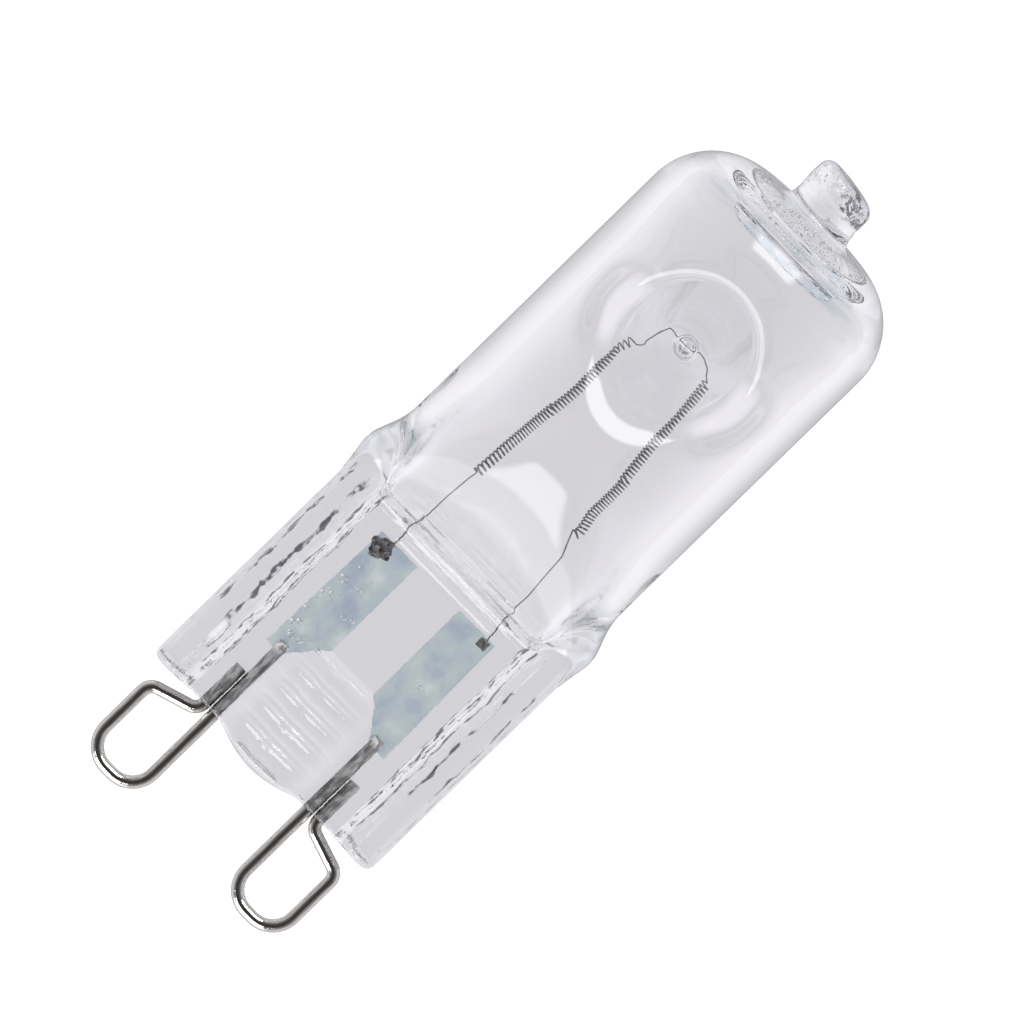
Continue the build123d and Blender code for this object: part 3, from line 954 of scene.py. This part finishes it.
def quartz():
    """Clear glass, pressed rough along the rails and at the tip, with dark marks at the tip, painted shade
    in streaks up the rails, and pale tints.
    """
    material = plain_material("clear_quartz", GLASS_COLOUR, roughness=0.0, transmission=1.0)
    look = Pattern(material)
    middle = look.maths("SQRT", look.total(look.product(look.x, look.x), look.product(look.y, look.y)))
    lumps = look.noise(*LUMP_GRAIN)
    look.relief(glass_relief(look, middle, lumps))
    flecks = look.step(look.noise(*FLECK_GRAIN), *FLECK_CUT)
    tip_side = look.product(look.step(look.z, *TIP_MARK_EDGE), look.step(look.side, *TIP_MARK_SIDE))
    # marks holds the tip's dark flecks and the painted shade of the rail streaks
    marks = look.total(rail_shade_streaks(look), look.product(tip_side, flecks, TIP_MARK))
    tints = glass_tints(look, middle, lumps)
    tints_marks_and_shade = look.total(look.product(look.maths("SUBTRACT", tints, marks), 0.5), 0.5)
    look.paint_colours(tints_marks_and_shade, ((0.05, MARK_AND_SHADE_COLOUR), (0.5, GLASS_COLOUR), (1.0, TINT_COLOUR)))
    return material


def mottled_foil():
    """Thin foil, dull and unevenly tarnished."""
    material = plain_material("mottled_foil", FOIL_COLOUR, metallic=1.0, roughness=FOIL_ROUGHNESS)
    look = Pattern(material)
    look.paint_colours(look.noise(*FOIL_CLOUD), FOIL_COLOURS)
    look.relief(look.product(look.noise(*FOIL_GRAIN), FOIL_RELIEF))
    return material


def drawn_nickel():
    """Bright wire, dull and dark where it lies in the glass and frayed at the long legs' tops."""
    material = plain_material("nickel_wire", NICKEL_COLOUR, metallic=1.0, roughness=NICKEL_MEAN_ROUGHNESS)
    look = Pattern(material)
    buried = look.step(look.z, *NICKEL_BURIED)
    worn = look.product(buried, look.step(look.noise(*NICKEL_WEAR), *NICKEL_WEAR_CUT))
    tatters = look.step(look.noise(*NICKEL_TATTERS), *NICKEL_TATTERS_CUT)
    frayed = look.product(look.step(look.z, *NICKEL_FRAYED), tatters)
    shade = look.total(buried, look.maths("MAXIMUM", worn, look.product(frayed, 2.0)))
    look.paint_colours(look.product(shade, 1 / 3), NICKEL_COLOURS)
    smears = look.product(look.noise(NICKEL_SMEARS), NICKEL_SMEAR)
    dulled = look.product(buried, NICKEL_BURIED_ROUGHNESS)
    look.paint("Roughness", look.total(dulled, smears, NICKEL_ROUGHNESS))
    look.relief(look.product(look.noise(*NICKEL_GRAIN), NICKEL_RELIEF))
    return material


def grained_metal(name, colour, roughness, rate, stops, relief):
    """Metal whose colour and relief follow one even grain."""
    material = plain_material(name, colour, metallic=1.0, roughness=roughness)
    look = Pattern(material)
    grain = look.noise((rate, rate, rate), 2.0)
    look.paint_colours(grain, stops)
    look.relief(look.product(grain, relief))
    return material


def dress(node, material):
    """Give a CAD node a better material."""
    piece = bpy.data.objects[node]
    piece.data.materials.clear()
    piece.data.materials.append(material)


# Pieces
nickel = drawn_nickel()
foil_metal = mottled_foil()
weld_metal = grained_metal(
    "crumpled_weld", WELD_COLOUR, WELD_ROUGHNESS, WELD_GRAIN, WELD_COLOURS, WELD_RELIEF
)
tungsten = grained_metal(
    "tungsten", TUNGSTEN_COLOUR, TUNGSTEN_ROUGHNESS, TUNGSTEN_GRAIN, TUNGSTEN_COLOURS, TUNGSTEN_RELIEF
)

envelope = field_object("quartz_envelope", glass_field, GLASS_LOW, GLASS_HIGH, GLASS_CELL, foil_bubbles())
envelope.data.materials.append(quartz())
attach(envelope, "root")
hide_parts("glass_envelope")

coils = tube_object("filament_wire", filament_line(), FILAMENT_RADIUS, FILAMENT_SIDES)
coils.data.materials.append(tungsten)
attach(coils, "root")
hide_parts("filament")

tab = crumpled_plate("crumpled_tab", TAB_CENTRE, TAB_HALF, TAB_TURN, TAB_CRUMPLE)
tab.data.materials.append(weld_metal)
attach(tab, "root")
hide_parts("weld_tab_left")

# Floor
corners = [(-FLOOR_REACH, -FLOOR_REACH), (FLOOR_REACH, -FLOOR_REACH)]
corners += [(FLOOR_REACH, FLOOR_REACH), (-FLOOR_REACH, FLOOR_REACH)]
floor = mesh_object("floor", [(*corner, FLOOR_HEIGHT) for corner in corners], [(0, 1, 2, 3)])


def ray_mix(tree, pick, first, second):
    """Mix two shaders by a Light Path output."""
    rays = tree.nodes.new("ShaderNodeLightPath")
    mix = tree.nodes.new("ShaderNodeMixShader")
    tree.links.new(rays.outputs[pick], mix.inputs["Fac"])
    tree.links.new(first, mix.inputs[1])
    tree.links.new(second, mix.inputs[2])
    return mix.outputs[0]


# The camera sees a white floor with a faint shadow; reflections and light through the glass pass the floor
floor_material = plain_material("floor_white", FLOOR_COLOUR, roughness=FLOOR_ROUGHNESS)
floor.data.materials.append(floor_material)
floor_tree = floor_material.node_tree
matt = floor_tree.nodes["Principled BSDF"]
glow = floor_tree.nodes.new("ShaderNodeEmission")
glow.inputs["Strength"].default_value = FLOOR_STRENGTH
shadowed = floor_tree.nodes.new("ShaderNodeMixShader")
shadowed.inputs["Fac"].default_value = FLOOR_GLOW
floor_tree.links.new(matt.outputs[0], shadowed.inputs[1])
floor_tree.links.new(glow.outputs[0], shadowed.inputs[2])
clear = floor_tree.nodes.new("ShaderNodeBsdfTransparent")
seen = ray_mix(floor_tree, "Is Camera Ray", matt.outputs[0], shadowed.outputs[0])
seen = ray_mix(floor_tree, "Is Glossy Ray", seen, clear.outputs[0])
seen = ray_mix(floor_tree, "Is Transmission Ray", seen, clear.outputs[0])
floor_tree.links.new(seen, floor_tree.nodes["Material Output"].inputs["Surface"])

# Studio: white to the camera; for light and reflections its tones follow the direction's depth
world = bpy.data.worlds.new("studio")
bpy.context.scene.world = world
world.use_nodes = True
sky_tree = world.node_tree
coordinates = sky_tree.nodes.new("ShaderNodeTexCoord")
split = sky_tree.nodes.new("ShaderNodeSeparateXYZ")
sky_tree.links.new(coordinates.outputs["Generated"], split.inputs[0])
depth = sky_tree.nodes.new("ShaderNodeMapRange")
depth.inputs["From Min"].default_value = -1.0
sky_tree.links.new(split.outputs["Y"], depth.inputs["Value"])


def studio_sky(tones, end_shade):
    """Background whose brightness follows the direction's depth, and which dims towards the lamp's ends."""
    stops = [(place, [tone * tint for tint in STUDIO_TINT]) for place, tone in tones]
    endways = maths_node(sky_tree, "ABSOLUTE", split.outputs["Z"])
    dim = step_node(sky_tree, endways, END_SHADE_FROM, END_SHADE_TO, 1.0, 1.0 - end_shade)
    sky = sky_tree.nodes.new("ShaderNodeBackground")
    sky_tree.links.new(ramp_node(sky_tree, depth.outputs[0], stops), sky.inputs["Color"])
    sky_tree.links.new(dim, sky.inputs["Strength"])
    return sky.outputs[0]


def facing(aim):
    """How far the direction points along an aim."""
    node = sky_tree.nodes.new("ShaderNodeVectorMath")
    node.operation = "DOT_PRODUCT"
    node.inputs[1].default_value = aim
    sky_tree.links.new(coordinates.outputs["Generated"], node.inputs[0])
    return node.outputs["Value"]


def window_mask(aim, reach, edge):
    """1 inside a window's edges on either side of its middle, soft to 0 outside."""
    slope = maths_node(sky_tree, "DIVIDE", facing(aim), reach)
    off = maths_node(sky_tree, "ABSOLUTE", slope)
    return step_node(sky_tree, off, edge + WINDOW_SOFT, edge - WINDOW_SOFT)


def studio_windows(sky):
    """Bright rectangles added to a background in given directions."""
    for aim, half_width, half_height, strength in STUDIO_WINDOWS:
        ahead = Vector(aim).normalized()
        beside = ahead.cross(Vector((0, 0, 1))).normalized()
        above = beside.cross(ahead)
        reach = maths_node(sky_tree, "MAXIMUM", facing(ahead), WINDOW_NEAREST)
        across = window_mask(beside, reach, half_width)
        upward = window_mask(above, reach, half_height)
        mask = maths_node(sky_tree, "MULTIPLY", across, upward)
        patch = sky_tree.nodes.new("ShaderNodeBackground")
        sky_tree.links.new(maths_node(sky_tree, "MULTIPLY", mask, strength), patch.inputs["Strength"])
        joined = sky_tree.nodes.new("ShaderNodeAddShader")
        sky_tree.links.new(sky, joined.inputs[0])
        sky_tree.links.new(patch.outputs[0], joined.inputs[1])
        sky = joined.outputs[0]
    return sky


white = sky_tree.nodes["Background"]
white.inputs["Color"].default_value = (1, 1, 1, 1)
plain = studio_sky(STUDIO_TONES, 0.0)
seen = ray_mix(sky_tree, "Is Glossy Ray", plain, studio_windows(plain))
seen = ray_mix(sky_tree, "Is Transmission Ray", seen, studio_sky(GLASS_TONES, END_SHADE))
seen = ray_mix(sky_tree, "Is Camera Ray", seen, white.outputs[0])
sky_tree.links.new(seen, sky_tree.nodes["World Output"].inputs["Surface"])

# Soft lamps, which light the floor and the metal but aren't seen in reflections or through the glass
for name, spot, power in SOFTBOXES:
    lamp = bpy.data.lights.new(name, "AREA")
    lamp.size = SOFTBOX_SIZE * MM
    lamp.energy = power
    holder = bpy.data.objects.new(name, lamp)
    holder.location = Vector(spot) * MM
    holder.rotation_euler = (Vector(SOFTBOX_AIM) - Vector(spot)).to_track_quat("-Z", "Y").to_euler()
    holder.visible_glossy = False
    holder.visible_transmission = False
    bpy.context.scene.collection.objects.link(holder)

# Camera
view = Vector((0, math.cos(CAMERA_TILT), -math.sin(CAMERA_TILT)))
upright = Vector((0, math.sin(CAMERA_TILT), math.cos(CAMERA_TILT)))
level = Vector((1, 0, 0))
right = level * math.cos(CAMERA_ROLL) + upright * math.sin(CAMERA_ROLL)
up = upright * math.cos(CAMERA_ROLL) - level * math.sin(CAMERA_ROLL)
lens = bpy.data.cameras.new("camera")
lens.lens = CAMERA_LENS
lens.sensor_width = CAMERA_SENSOR
lens.clip_start = CLIP_START
lens.clip_end = CLIP_END
camera = bpy.data.objects.new("camera", lens)
distance = FRAME_PIXELS / PIXELS_PER_MM * CAMERA_LENS / CAMERA_SENSOR
place = (Vector(CAMERA_TARGET) - view * distance) * MM
turn = Matrix((right, up, -view)).transposed().to_4x4()
camera.matrix_world = Matrix.Translation(place) @ turn
bpy.context.scene.collection.objects.link(camera)
bpy.context.scene.camera = camera
bpy.context.scene.view_settings.view_transform = "Standard"
bpy.context.scene.cycles.max_bounces = GLASS_BOUNCES
bpy.context.scene.cycles.glossy_bounces = GLASS_BOUNCES
bpy.context.scene.cycles.transmission_bounces = GLASS_BOUNCES

dress("pin_loop_left", nickel)
dress("pin_loop_right", nickel)
dress("foil_left", foil_metal)
dress("foil_right", foil_metal)
dress("weld_tab_right", weld_metal)
